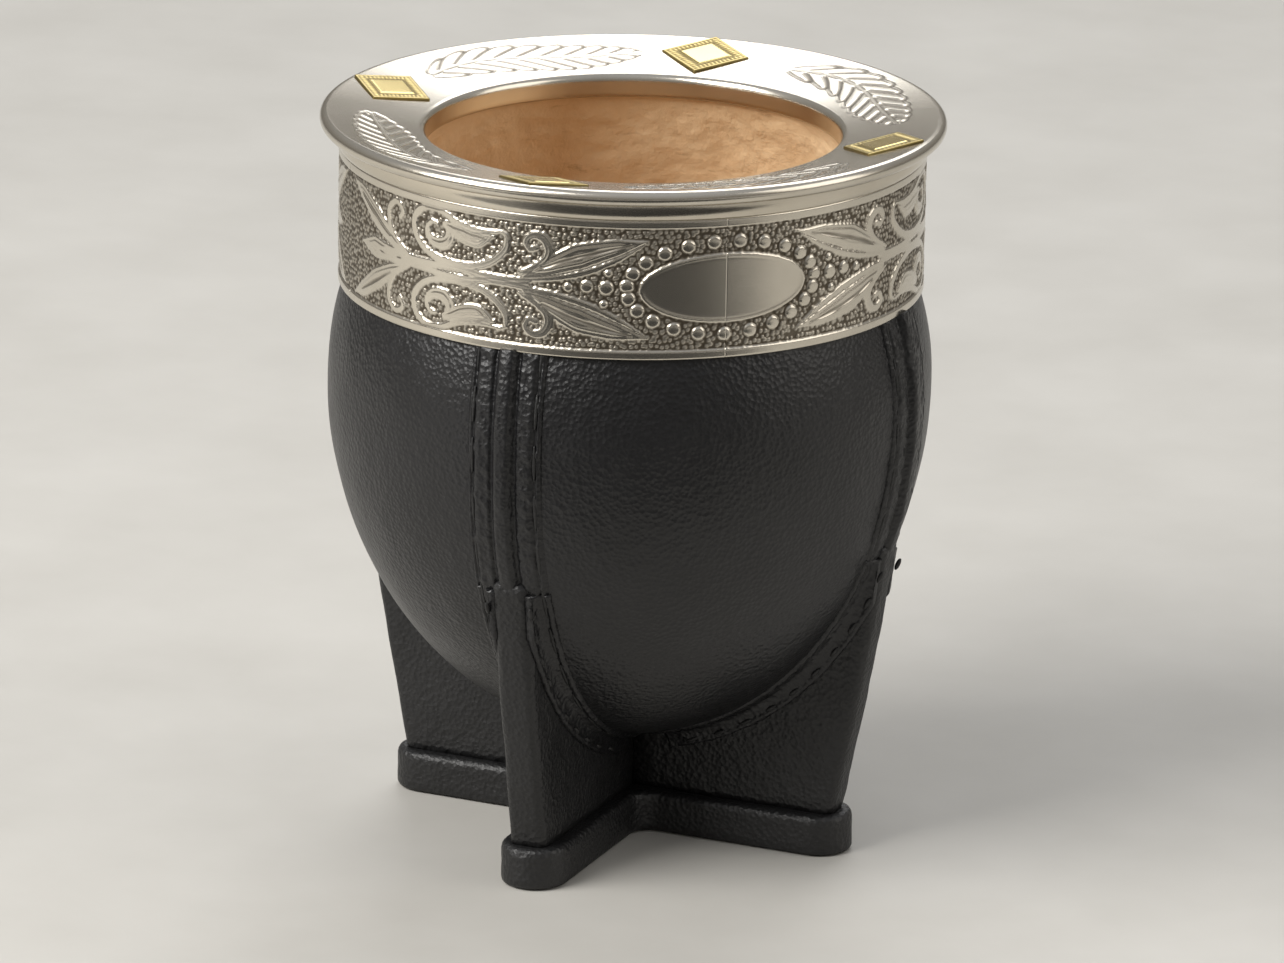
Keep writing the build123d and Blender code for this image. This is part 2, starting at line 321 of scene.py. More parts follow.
SILVER = make_metal("nickel_silver", (0.66, 0.61, 0.52), (0.58, 0.53, 0.44), (0.2, 0.17, 0.13), 0.16, False)
CHASED = make_metal("chased_silver", (0.68, 0.635, 0.55), (0.60, 0.555, 0.475),
                    (0.12, 0.10, 0.075), 0.22, True)
GOLD = make_metal("gold", (0.74, 0.60, 0.27), (0.66, 0.52, 0.21), (0.16, 0.12, 0.04), 0.24, True)

# %% Gourd
def make_gourd():
    """Dry tan gourd wall: warm clouds and short dark streaks."""
    material, tree, shader = new_material("gourd_wall")
    clouds = ramp(tree, noise(tree, 70, 6, 0.6), [(0.3, (0.66, 0.44, 0.24)), (0.68, (0.80, 0.59, 0.36))])
    streaks = noise(tree, 160, 5, 0.7, (1, 1, 3.2))
    mix = tree.nodes.new("ShaderNodeMix")
    mix.data_type = "RGBA"
    tree.links.new(span(tree, streaks, 0.0, 0.75, 0.6, 0.78), mix.inputs["Factor"])
    tree.links.new(clouds, mix.inputs["A"])
    mix.inputs["B"].default_value = (0.36, 0.20, 0.09, 1)
    tree.links.new(mix.outputs["Result"], shader.inputs["Base Color"])
    shader.inputs["Roughness"].default_value = 0.8
    shader.inputs["Specular IOR Level"].default_value = 0.25
    fibre = maths(tree, "ADD", noise(tree, 500, 6, 0.65), noise(tree, 90, 4))
    bump(tree, shader, fibre, 0.35 * MM)
    return material


GOURD = make_gourd()

# %% [markdown]
# ## The body's outline
#
# The leather was wet-formed over the gourd, so the sleeve, the ribs and the gourd all follow one
# outline.  Below its widest part that is a quarter of an ellipse, and above it the start of
# another one that runs in under the collar.  The points are spaced evenly along the line, so
# that a stitch or a grain of relief has the same size all the way down.

# %% Body outline
SHOULDER_DROP = 13.8
TUCK_GAP = 0.85
WIDEST = BAND_LOW - SHOULDER_DROP
DEPTH = WIDEST - BODY_LOW
SHOULDER = SHOULDER_DROP / math.sqrt(1 - ((BAND_R - TUCK_GAP) / BODY_R) ** 2)


def body_line(offset, top, step):
    """Even points (radius, height) up the body, with outward normals, from the axis to top."""
    low = np.linspace(0, math.pi / 2, 900)
    high = np.linspace(0, math.asin((top - WIDEST) / (SHOULDER + offset)), 400)[1:]
    r = np.concatenate([np.sin(low), np.cos(high)]) * (BODY_R + offset)
    z = np.concatenate([WIDEST - (DEPTH + offset) * np.cos(low),
                        WIDEST + (SHOULDER + offset) * np.sin(high)])
    length = np.concatenate([[0], np.cumsum(np.hypot(np.diff(r), np.diff(z)))])
    even = np.linspace(0, length[-1], int(length[-1] / step) + 1)
    r, z = np.interp(even, length, r), np.interp(even, length, z)
    dr, dz = np.gradient(r), np.gradient(z)
    size = np.hypot(dr, dz)
    return np.stack([r, z], 1), np.stack([dz / size, -dr / size], 1), even


# %% [markdown]
# ## Leather sleeve
#
# One skin, turned about the axis, with an outside and an inside.  The hand-stretched leather is
# not quite round, so slow noise moves it in and out by a few tenths of a millimetre.

# %% Sleeve
LEATHER_WALL = 1.45


def make_sleeve():
    outer, _, _ = body_line(0.0, SLEEVE_TOP, 0.9)
    inner, _, _ = body_line(-LEATHER_WALL, SLEEVE_TOP, 2.5)
    outline = np.vstack([outer, inner[::-1]])
    last_outer = len(outer) - 1

    def swell(radius, height, angle):
        points = np.stack([radius * np.sin(angle), radius * np.cos(angle), height], -1)
        push = 0.10 * wave_noise(points, 26, 3) * (radius > 5)
        push[last_outer:] = 0
        return radius + push, height

    verts, faces = lathe(outline, 300, swell)
    return add_piece("leather_sleeve_skin", verts, faces, LEATHER, ["leather_sleeve"])


make_sleeve()

# %% [markdown]
# ## Ribs
#
# Each rib is a leather strip with a welt down its middle.  The strip is stitched to the sleeve
# along both sides, and the thread pulls a groove into it.  A height map across the strip gives
# the welt, the creases beside it and the two grooves, and noise crumples the leather between.

# %% Rib strips
LEG_TURNS = [0.0, 90.0, 180.0, 270.0]
STITCH_ROW = 4.65
STRIP_HALF = 5.5
STITCH_PITCH = 6.8
STITCH_LENGTH = 5.4
WELT_HALF = 1.35
FIN_FOOT = 33.4


def turned(verts, degrees_from_front):
    """Turns points made along -Y by an angle from the front towards +X."""
    a = math.radians(degrees_from_front)
    verts = np.asarray(verts, dtype=float)
    x = verts[:, 0] * math.cos(a) - verts[:, 1] * math.sin(a)
    y = verts[:, 0] * math.sin(a) + verts[:, 1] * math.cos(a)
    return np.stack([x, y, verts[:, 2]], 1)


def on_body(line, normal, across, height):
    """Points at a distance across from the -Y plane and a height above the body."""
    r = line[:, 0][:, None]
    out = np.sqrt(np.maximum(r**2 - across**2, 0.01)) + height * normal[:, 0][:, None]
    z = line[:, 1][:, None] + height * normal[:, 1][:, None]
    return np.stack([across + 0 * out, -out, z + 0 * out], -1)


def closed_strip(top, bottom):
    """Joins two grids of the same size into one closed solid."""
    rows, cols = top.shape[:2]
    verts = np.vstack([top.reshape(-1, 3), bottom.reshape(-1, 3)])
    n = rows * cols
    faces = grid_quads(rows, cols)
    faces += [face[::-1] for face in grid_quads(rows, cols, start=n)]
    rim = [(0, c) for c in range(cols)] + [(r, cols - 1) for r in range(1, rows)]
    rim += [(rows - 1, c) for c in range(cols - 2, -1, -1)] + [(r, 0) for r in range(rows - 2, 0, -1)]
    index = [r * cols + c for r, c in rim]
    for a, b in zip(index, index[1:] + index[:1]):
        faces.append([b, a, a + n, b + n])
    return verts, faces


def bell(x, width):
    return np.exp(-((x / width) ** 2))


def shelf(x, edge, soft):
    """1 inside the edge, 0 outside, with a soft step."""
    return 0.5 - 0.5 * np.tanh((np.abs(x) - edge) / soft)


def rib_verts(seed):
    line, normal, along = body_line(0.0, BAND_LOW - 0.05, 0.28)
    keep = line[:, 1] > FIN_TOP - 3.0
    line, normal, along = line[keep], normal[keep], along[keep]
    across = np.linspace(-STRIP_HALF, STRIP_HALF, 57)[None, :] + np.zeros((len(line), 1))
    s = along[:, None] + np.zeros_like(across)
    place = np.stack([across, s], -1)
    wander = 0.25 * wave_noise(np.stack([s * 0, s], -1), 30, seed + 5, 1)
    a = across - wander
    height = 0.62 * shelf(a, STRIP_HALF - 0.25, 0.22)
    height -= 0.50 * bell(np.abs(a) - STITCH_ROW, 0.34)
    height -= 0.42 * bell(np.abs(a) - WELT_HALF - 0.35, 0.32)
    height += (0.75 + 0.1 * wave_noise(place, 9, seed + 1)) * shelf(a, WELT_HALF - 0.2, 0.3)
    crumple = shelf(np.abs(a) - 3.0, 1.1, 0.3)
    height += 0.10 * crumple * wave_noise(place, 2.4, seed + 2)
    pinch = bell((s - along[0]) % STITCH_PITCH - STITCH_PITCH / 2, 0.55)
    height += 0.30 * pinch * bell(np.abs(a) - STITCH_ROW, 0.45)
    top = on_body(line, normal, across, np.maximum(height, 0.03))
    bottom = on_body(line, normal, across, np.full_like(height, -0.35))
    return top, bottom


def fin_edge(z):
    """Radius of a fin's leaning outer edge at a height."""
    share = (np.asarray(z) - SOLE_TOP) / (FIN_TOP - SOLE_TOP)
    return FIN_FOOT + (FIN_TOP_R - FIN_FOOT) * share + 0.35 * np.sin(math.pi * np.clip(share, 0, 1))


def turn_up_section():
    """Across and height of the strip where it runs beside a fin and climbs its face."""
    inside = FIN_HALF - 0.35
    return np.array([
        (STRIP_HALF + 0.1, -0.35), (STRIP_HALF + 0.1, 0.1), (STRIP_HALF - 0.1, 0.42), (5.1, 0.52),
        (4.85, 0.34), (4.65, 0.22), (4.45, 0.34), (4.2, 0.55), (3.9, 0.66), (3.65, 0.9),
        (3.45, 1.4), (3.38, 1.9), (3.28, 2.15), (3.38, 2.45), (3.36, 2.75), (3.2, 2.95),
        (2.95, 3.0), (inside, 2.9), (inside, 1.0), (inside, -0.35),
    ])


def turn_up_verts(side, seed):
    line, normal, along = body_line(0.0, BAND_LOW, 0.28)
    keep = (line[:, 1] < FIN_TOP - 0.5) & (line[:, 0] > 8.5)
    line, normal, along = line[keep], normal[keep], along[keep]
    section = turn_up_section()
    across = section[:, 0][None, :] + np.zeros((len(line), 1))
    height = section[:, 1][None, :] + np.zeros((len(line), 1))
    s = along[:, None] + np.zeros_like(across)
    on_face = height > 0.6
    rough = wave_noise(np.stack([across * 2, s, height], -1), 2.6, seed)
    height = height + 0.07 * rough * (height > 0)
    across = across + 0.07 * rough * on_face * (across > 2.9)
    room = (fin_edge(line[:, 1]) - line[:, 0]) / np.maximum(normal[:, 0], 0.2) - 0.35
    height = np.minimum(height, np.maximum(room, 0.5)[:, None])
    pinch = bell((s - along[0]) % STITCH_PITCH - STITCH_PITCH / 2, 0.5)
    height = height + 0.2 * pinch * bell(across - STITCH_ROW, 0.4)
    return on_body(line, normal, across * side, height)


def tube_faces(rows, cols, start=0):
    """A grid closed round its columns, with a lid at each end."""
    faces = grid_quads(rows, cols, wrap_cols=True, start=start)
    faces.append([start + c for c in range(cols)][::-1])
    faces.append([start + (rows - 1) * cols + c for c in range(cols)])
    return faces


def make_rib(number, turn):
    verts, faces = closed_strip(*rib_verts(10 * number))
    for side in (1, -1):
        grid = turn_up_verts(side, 10 * number + side)
        more = grid.reshape(-1, 3)
        more_faces = tube_faces(grid.shape[0], grid.shape[1])
        if enclosed(more, more_faces) < 0:
            more_faces = [face[::-1] for face in more_faces]
        if enclosed(verts, faces) < 0:
            faces = [face[::-1] for face in faces]
        faces += [[i + len(verts) for i in face] for face in more_faces]
        verts = np.vstack([verts, more])
    name = f"rib_{number}_strip"
    return add_piece(name, turned(verts, turn), faces, LEATHER, [f"rib_{number}"])


for number, turn in enumerate(LEG_TURNS, 1):
    make_rib(number, turn)

# %% [markdown]
# ## Fins
#
# A fin is a slab of leather that leans outwards as it climbs.  Its section at each height is a
# closed loop: from the body out along one face, round the soft outer edge and back.

# %% Fins
FIN_CORNER = 1.35


def body_radius(z):
    """Radius of the leather at a height."""
    z = np.asarray(z, dtype=float)
    low = 1 - np.clip((WIDEST - z) / DEPTH, 0, 1) ** 2
    return BODY_R * np.sqrt(np.clip(low, 0, 1))


def fin_section(inner, outer):
    """Closed loop (out, across) of a fin's section from inner to outer."""
    points = [(inner, 0.0)]
    straight = np.linspace(inner + FIN_HALF, outer - FIN_CORNER, 10)
    points += [(x, FIN_HALF) for x in straight]
    for a in np.linspace(90, 0, 6)[1:]:
        points.append((outer - FIN_CORNER + FIN_CORNER * math.cos(math.radians(a)),
                       FIN_HALF - FIN_CORNER + FIN_CORNER * math.sin(math.radians(a))))
    points += [(x, -y) for x, y in reversed(points[1:])]
    return points


def make_fin(number, turn):
    heights = np.concatenate([np.linspace(SOLE_TOP + 0.02, FIN_TOP, 46)])
    rows = []
    for z in heights:
        outer = float(fin_edge(z))
        inner = max(0.15, float(body_radius(z - 0.6)) - 3.6) if z > BODY_LOW + 1 else 0.15
        inner = min(inner, outer - 2 * FIN_HALF - 1.0)
        loop = fin_section(inner, outer)
        rows.append([(y, -x, z) for x, y in loop])
    top_row = [(x * 0.8, y * 0.985, z + 0.7) for x, y, z in rows[-1]]
    grid = np.array(rows + [top_row])
    wobble = wave_noise(grid, 9, 40 + number)
    grid[:, :, 0] += 0.09 * wobble * np.sign(grid[:, :, 0])
    grid[:, :, 1] -= 0.06 * wobble
    faces = tube_faces(grid.shape[0], grid.shape[1])
    verts = turned(grid.reshape(-1, 3), turn)
    return add_piece(f"fin_{number}_leather", verts, faces, EDGE_LEATHER, [f"fin_{number}"])


for number, turn in enumerate(LEG_TURNS, 1):
    make_fin(number, turn)

# %% [markdown]
# ## Sole
#
# The sole is cut from thick leather as a cross with round ends.  Rings of the same outline,
# drawn in by a little more each time, round its upper edge.

# %% Sole
SOLE_HALF = 4.8
SOLE_CORNER = 3.0


def cross_outline(inset):
    """Outline of the cross, drawn in by inset."""
    half = SOLE_HALF - inset
    corner = SOLE_CORNER + inset
    tip = SOLE_REACH - SOLE_HALF
    points = []
    for a in np.linspace(-90, 90, 17):
        points.append((tip + half * math.cos(math.radians(a)), half * math.sin(math.radians(a))))
    for t in np.linspace(0.88, 0.12, 12):
        points.append((half + corner + t * (tip - half - corner), half))
    for a in np.linspace(270, 180, 9):
        points.append((half + corner + corner * math.cos(math.radians(a)),
                       half + corner + corner * math.sin(math.radians(a))))
    for t in np.linspace(0.12, 0.88, 12):
        points.append((half, half + corner + t * (tip - half - corner)))
    arm = np.array(points)
    arms = []
    for k in range(4):
        a = math.radians(90 * k)
        arms.append(np.stack([arm[:, 0] * math.cos(a) - arm[:, 1] * math.sin(a),
                              arm[:, 0] * math.sin(a) + arm[:, 1] * math.cos(a)], 1))
    return np.vstack(arms)


def make_sole():
    levels = [(0.5, 0.0), (0.15, 0.12), (0.0, 0.5), (0.0, 1.6), (0.04, 2.8), (0.0, 4.0), (0.0, 4.7),
              (0.1, 5.2), (0.32, 5.55), (0.65, 5.75), (1.0, SOLE_TOP)]
    rows = []
    for inset, z in levels:
        plan = cross_outline(inset)
        rows.append(np.column_stack([plan, np.full(len(plan), z)]))
    grid = np.array(rows)
    wobble = wave_noise(grid, 11, 71)
    grid[2:8, :, :2] *= (1 + 0.002 * wobble[2:8, :, None])
    verts = grid.reshape(-1, 3)
    faces = tube_faces(len(levels), grid.shape[1])
    return add_piece("sole_leather", verts, faces, EDGE_LEATHER, ["sole"])


make_sole()

# %% [markdown]
# ## Gourd
#
# Only the inside of the gourd shows, through the mouth.  It is turned as one shell, and noise
# makes its inner wall uneven, with a few scraped hollows.

# %% Gourd shell
GOURD_TOP = node_box("gourd")[1][2]
GOURD_LOW = node_box("gourd")[0][2]
GOURD_R = node_box("gourd")[1][0]
GOURD_WALL = 3.8
LIP_R = 29.2
MOUTH_BORE = LIP_R + 0.95


def make_gourd_shell():
    outer, _, _ = body_line(GOURD_R - BODY_R, SLEEVE_TOP, 2.0)
    neck = outer[-1, 0]
    hollow_r = GOURD_R - GOURD_WALL
    shelf_z = GOURD_TOP - 2.6
    hollow_depth = WIDEST - GOURD_LOW - GOURD_WALL
    rise = (shelf_z - WIDEST) / math.sqrt(1 - (MOUTH_BORE / hollow_r) ** 2)
    down = np.linspace(math.asin((shelf_z - WIDEST) / rise), 0, 60)
    upper = np.stack([hollow_r * np.cos(down), WIDEST + rise * np.sin(down)], 1)
    deep = np.linspace(math.pi / 2, 0, 70)[1:]
    lower = np.stack([hollow_r * np.sin(deep), WIDEST - hollow_depth * np.cos(deep)], 1)
    lower[-1, 0] = 0.0
    wall = np.array([(neck, GOURD_TOP), (MOUTH_BORE, GOURD_TOP)])
    outline = np.vstack([outer, wall, upper, lower])
    first_inner = len(outer) + 1

    def swell(radius, height, angle):
        points = np.stack([radius * np.sin(angle), radius * np.cos(angle), height], -1)
        push = 0.16 * wave_noise(points, 9, 21) + 0.10 * wave_noise(points, 3.0, 22, 2)
        push *= np.clip((GOURD_TOP - 3.5 - height) / 2.0, 0, 1)
        push[:first_inner] = 0
        return radius + push, height

    verts, faces = lathe(outline, 360, swell)
    return add_piece("gourd_shell", verts, faces, GOURD, ["gourd"])


make_gourd_shell()

# %% [markdown]
# ## Chasing tools
#
# The ornament on the collar was punched and engraved by hand.  Here it is a height map: every
# leaf, scroll and bead is a distance worked out with numpy, and a smooth step turns the distance
# into a raised shape with a soft edge.  Strokes follow a curve through a few points and swell
# and taper along it, as the real tool marks do.

# %% Height map tools
def curve_points(knots, count=40):
    """A smooth curve through a few knots (Catmull-Rom), as evenly counted points."""
    knots = np.asarray(knots, dtype=float)
    ends = np.vstack([2 * knots[0] - knots[1], knots, 2 * knots[-1] - knots[-2]])
    t = np.linspace(0, len(knots) - 1 - 1e-9, count)
    i = t.astype(int)
    f = (t - i)[:, None]
    p0, p1, p2, p3 = ends[i], ends[i + 1], ends[i + 2], ends[i + 3]
    return 0.5 * (2 * p1 + (p2 - p0) * f + (2 * p0 - 5 * p1 + 4 * p2 - p3) * f**2
                  + (3 * p1 - p0 - 3 * p2 + p3) * f**3)


def stroke(u, v, knots, widths, count=36):
    """Signed depth inside a stroke: positive inside, in millimetres from its edge."""
    path = curve_points(knots, count)
    width = np.interp(np.linspace(0, 1, count), np.linspace(0, 1, len(widths)), widths)
    best = np.full(u.shape, -9.0)
    reach = width.max() + 1.5
    low, high = path.min(0) - reach, path.max(0) + reach
    near = (u > low[0]) & (u < high[0]) & (v > low[1]) & (v < high[1])
    if not near.any():
        return best
    uu, vv = u[near], v[near]
    inside = np.full(uu.shape, -9.0)
    for a, b, wa, wb in zip(path[:-1], path[1:], width[:-1], width[1:]):
        d = b - a
        t = np.clip(((uu - a[0]) * d[0] + (vv - a[1]) * d[1]) / (d @ d + 1e-9), 0, 1)
        gap = np.hypot(uu - a[0] - t * d[0], vv - a[1] - t * d[1])
        np.maximum(inside, wa + t * (wb - wa) - gap, out=inside)
    best[near] = inside
    return best


def disc(u, v, centre, radius):
    return radius - np.hypot(u - centre[0], v - centre[1])


def step(inside, soft=0.12):
    """Smooth 0 to 1 across an edge."""
    return 0.5 + 0.5 * np.tanh(inside / soft)

# %% [markdown]
# ## The band's ornament
#
# The pattern repeats twice round the band and mirrors about the middle of its height: an oval
# shield in a ring of beads, a pair of leaves that spring from a fork, and a pair of scrolls.
# So only one quarter is drawn, in millimetres along (u) and up (v) from the shield's centre.
# The ground between the shapes is stippled with hundreds of small round dots.

# %% Band ornament
BAND_MID = (BAND_LOW + BAND_HIGH) / 2
BAND_HALF = (BAND_HIGH - BAND_LOW) / 2
BAND_FIELD = BAND_HALF - 1.35
SHIELD_TURN = 42.0
SHIELD_A = 12.2
SHIELD_B = 4.95
RELIEF = 0.34
LEAF_SPINE = [(28.4, 1.0), (25.0, 2.6), (20.5, 4.5), (15.5, 5.9), (10.9, 6.9)]
LEAF_EDGE = [(30.5, 0.5), (25.0, 1.0), (19.5, 2.3), (15.0, 4.3), (11.3, 6.5)]
HOOK = [(29.0, 1.4), (25.6, 3.1), (24.6, 4.9), (25.4, 6.6),
        (26.9, 7.0), (28.0, 6.1), (27.5, 5.0), (26.6, 5.2)]
STEM = [(27.5, 0.5), (32.5, 0.2), (38.0, 0.6), (43.5, 0.5), (49.0, 0.3)]
PAISLEY = [(31.6, 6.9), (35.0, 6.5), (38.5, 7.0), (41.5, 8.2), (44.6, 8.3),
           (46.6, 6.6), (46.5, 4.2), (44.4, 2.2), (41.0, 1.3), (37.0, 1.2),
           (33.6, 2.2), (31.2, 4.3), (30.9, 6.2), (31.8, 7.0)]
PAISLEY_WIDTH = [0.25, 0.5, 0.55, 0.5, 0.55, 0.6, 0.6, 0.55, 0.6, 0.65, 0.6, 0.6, 0.4, 0.2]
TAIL = [(40.8, 6.5), (38.0, 5.6), (35.5, 5.2), (32.8, 6.1)]
COMMA = [(40.6, 6.3), (40.0, 4.9), (41.2, 3.7), (43.2, 3.8), (44.2, 5.1), (43.5, 6.4), (42.3, 6.3)]
BACK_LEAF = [(48.0, 0.8), (51.5, 2.2), (55.5, 4.4), (59.5, 6.8), (63.0, 8.2)]
BACK_HOOK = [(50.0, 1.5), (52.0, 4.0), (52.4, 6.4), (50.8, 7.8), (49.2, 6.9), (49.9, 5.7)]
BUD_STEM = [(49.0, 0.6), (53.0, 0.5), (56.0, 0.3), (60.0, 0.0)]


def shield_distance(u, v):
    """Rough distance inside the oval shield."""
    scale = np.hypot(u / SHIELD_A, v / SHIELD_B)
    slope = np.hypot(u / SHIELD_A**2, v / SHIELD_B**2) / np.maximum(scale, 1e-6)
    return (1 - scale) / np.maximum(slope, 1e-6)


def band_beads():
    """Centres and radii of the beads round the shield and in the fork of the leaves."""
    beads = []
    for k in range(23):
        a = math.pi * k / 11.5
        beads.append((13.9 * math.cos(a + 0.06), 6.55 * math.sin(a + 0.06), 1.0))
    for side in (1, -1):
        beads += [(side * 19.4, 0.3, 0.95), (side * 16.7, 0.2, 1.05), (side * 17.0, -2.1, 0.6),
                  (side * 22.0, 0.0, 0.7), (side * 16.4, 2.3, 0.6)]
    return beads


def dot_field(u, v, pitch, seed):
    """Domes of an irregular stipple, from 0 in the gaps to 1 on each dot."""
    rng = np.random.default_rng(seed)
    cols = int((u.max() - u.min()) / pitch) + 6
    rows = int((v.max() - v.min()) / pitch) + 6
    shift = rng.uniform(-0.33, 0.33, (cols, rows, 2))
    size = rng.uniform(0.36, 0.5, (cols, rows))
    best = np.zeros_like(u)
    i0 = np.floor((u - u.min()) / pitch).astype(int)
    j0 = np.floor((v - v.min()) / pitch).astype(int)
    for di in (0, 1, 2):
        for dj in (0, 1, 2):
            i, j = i0 + di, j0 + dj
            cu = u.min() + (i - 0.5 + shift[i, j, 0] + 0.5 * (j % 2)) * pitch
            cv = v.min() + (j - 0.5 + shift[i, j, 1]) * pitch
            r = size[i, j] * pitch
            np.maximum(best, np.clip(1 - ((u - cu) ** 2 + (v - cv) ** 2) / r**2, 0, 1), out=best)
    return np.sqrt(best)


def band_relief(u, v, seed):
    """Height in millimetres (0 is the band's outside) and the patina depth."""
    au, av = np.abs(u), np.abs(v)
    dots = dot_field(u, v, 0.74, seed)
    height = -RELIEF + 0.17 * dots
    depth = 0.12 + 0.5 * dots
    shapes = np.full(u.shape, -9.0)
    detail = np.zeros_like(u)
    shade = np.ones_like(u)

    def raise_shape(inside, groove=0.0):
        np.maximum(shapes, inside, out=shapes)

    leaf = stroke(au, av, LEAF_SPINE, [0.25, 1.25, 1.85, 1.25, 0.05])
    raise_shape(leaf)
    raise_shape(stroke(au, av, LEAF_EDGE, [0.25, 0.45, 0.5, 0.4, 0.05]))
    raise_shape(stroke(au, av, HOOK, [0.3, 0.75, 0.75, 0.7, 0.6, 0.5, 0.45, 0.5]))
    raise_shape(stroke(au, av, STEM, [0.5, 0.65, 0.5, 0.55, 0.6]))
    raise_shape(stroke(au, av, PAISLEY, PAISLEY_WIDTH, 80))
    raise_shape(stroke(au, av, TAIL, [0.7, 1.25, 1.25, 0.2]))
    raise_shape(stroke(au, av, COMMA, [0.5, 0.9, 1.0, 0.8, 0.55, 0.4, 0.25]))
    raise_shape(stroke(au, av, BACK_LEAF, [0.4, 1.0, 1.5, 1.2, 0.1]))
    raise_shape(stroke(au, av, BACK_HOOK, [0.3, 0.5, 0.5, 0.5, 0.4, 0.4]))
    raise_shape(stroke(au, av, BUD_STEM, [0.5, 0.7, 1.3, 0.2]))
    vein = stroke(au, av, [(25.6, 2.6), (21.0, 4.3), (16.5, 5.6), (13.2, 6.4)], [0.16, 0.26, 0.22, 0.08])
    vein = np.maximum(vein, stroke(au, av, [(52.0, 2.7), (56.0, 4.9), (60.0, 7.0)], [0.12, 0.24, 0.1]))
    raised = step(shapes, 0.09)
    dome = np.clip(shapes, 0, 1.1)
    top = -0.10 + 0.085 * dome - 0.14 * step(vein, 0.1)
    lines = 0.03 * np.sin(9.0 * shapes) * step(shapes - 0.25, 0.15)
    height = height * (1 - raised) + (top + lines) * raised
    depth = depth * (1 - raised) + (0.86 - 0.55 * step(vein, 0.1) + 2.2 * lines) * raised
    for cu, cv, r in band_beads():
        inside = disc(u, v, (cu, cv), r)
        near = inside > -0.5
        up = step(inside, 0.08)
        ball = -0.11 + 0.16 * np.sqrt(np.clip(1 - (1 - inside / r) ** 2, 0, 1))
        ball = ball - 0.10 * bell(inside - 0.02, 0.12)
        height = np.where(near, height * (1 - up) + ball * up, height)
        ring = bell(inside + 0.12, 0.16)
        depth = np.where(near, (depth * (1 - up) + 0.93 * up) * (1 - 0.8 * ring), depth)
        height = np.where(near, height - 0.05 * ring, height)
    shield = shield_distance(u, v)
    inside = step(shield, 0.10)
    rim = bell(shield - 0.35, 0.28)
    height = height * (1 - inside) + (-0.06 + 0.06 * rim) * inside - 0.08 * bell(shield + 0.2, 0.18)
    depth = depth * (1 - inside) + inside
    depth = depth * (1 - 0.7 * bell(shield + 0.2, 0.2))
    plain = 1 - shelf(v, BAND_FIELD, 0.07)
    groove = bell(av - BAND_FIELD, 0.14)
    edge = np.clip((av - (BAND_HALF - 0.25)) / 0.25, 0, 1)
    height = height * (1 - plain) + (-0.02 - 0.12 * edge**2) * plain - 0.10 * groove
    depth = depth * (1 - plain) + plain * 0.97 - 0.6 * groove * (1 - plain)
    return height, np.clip(depth, 0, 1)


# %% Build the band in four quarters
BAND_COLS = 434
BAND_ROWS = 134
BAND_INSIDE = BAND_R - 0.7


def make_band_quarter(number):
    """A quarter of the band, from the middle of a shield to the middle of the scrolls."""
    first = -90 + 90 * number
    angle = np.linspace(first, first + 90, BAND_COLS)
    v = np.linspace(-BAND_HALF, BAND_HALF, BAND_ROWS)
    shield = 0 if number < 2 else 180
    along = (angle - shield) * math.pi / 180 * BAND_R
    u, w = np.meshgrid(along, v)
    height, depth = band_relief(u, w, 300 + number)
    a = np.radians(angle + SHIELD_TURN)[None, :]
    r = BAND_R + height
    outer = np.stack([r * np.sin(a), -r * np.cos(a), BAND_MID + w], -1).reshape(-1, 3)
    a = a[0]
    ring = np.stack([BAND_INSIDE * np.sin(a), -BAND_INSIDE * np.cos(a)], 1)
    low = np.column_stack([ring, np.full(BAND_COLS, BAND_LOW)])
    high = np.column_stack([ring, np.full(BAND_COLS, BAND_HIGH)])
    verts = np.vstack([outer, low, high])
    faces = grid_quads(BAND_ROWS, BAND_COLS)
    n = BAND_ROWS * BAND_COLS
    last = (BAND_ROWS - 1) * BAND_COLS
    for c in range(BAND_COLS - 1):
        faces.append([c + 1, c, n + c, n + c + 1])
        faces.append([last + c, last + c + 1, n + BAND_COLS + c + 1, n + BAND_COLS + c])
        faces.append([n + c + 1, n + c, n + BAND_COLS + c, n + BAND_COLS + c + 1])
    start = [r * BAND_COLS for r in range(BAND_ROWS)]
    faces.append([n] + start + [n + BAND_COLS])
    end = [r * BAND_COLS + BAND_COLS - 1 for r in range(BAND_ROWS)]
    faces.append([n + 2 * BAND_COLS - 1] + end[::-1] + [n + BAND_COLS - 1])
    depth = np.concatenate([depth.reshape(-1), np.full(2 * BAND_COLS, 0.9)])
    name = f"collar_band_{number + 1}"
    return add_piece(name, verts, faces, CHASED, ["collar_band"],
                     attributes={"depth": depth})


for number in range(4):
    make_band_quarter(number)

# %% [markdown]
# ## Collar top
#
# One turned piece makes the rolled rim, the dished plate and the lip that curls down into the
# mouth, and a second makes the moulding below the rim.  The plate carries engraved fronds
# between the gold rhombuses.

# %% Top plate
LIP_ROUND = 1.1
BEAD_R = 1.1
RIM_MID_R = RIM_R - BEAD_R
RIM_MID_Z = node_box("collar_plate")[1][2] - BEAD_R
PLATE_IN = LIP_R + LIP_ROUND
PLATE_FALL = 2.4
FROND_MID = 36.7


def plate_height(radius):
    return RIM_TOP - (RIM_MID_R - radius) * PLATE_FALL / (RIM_MID_R - PLATE_IN)


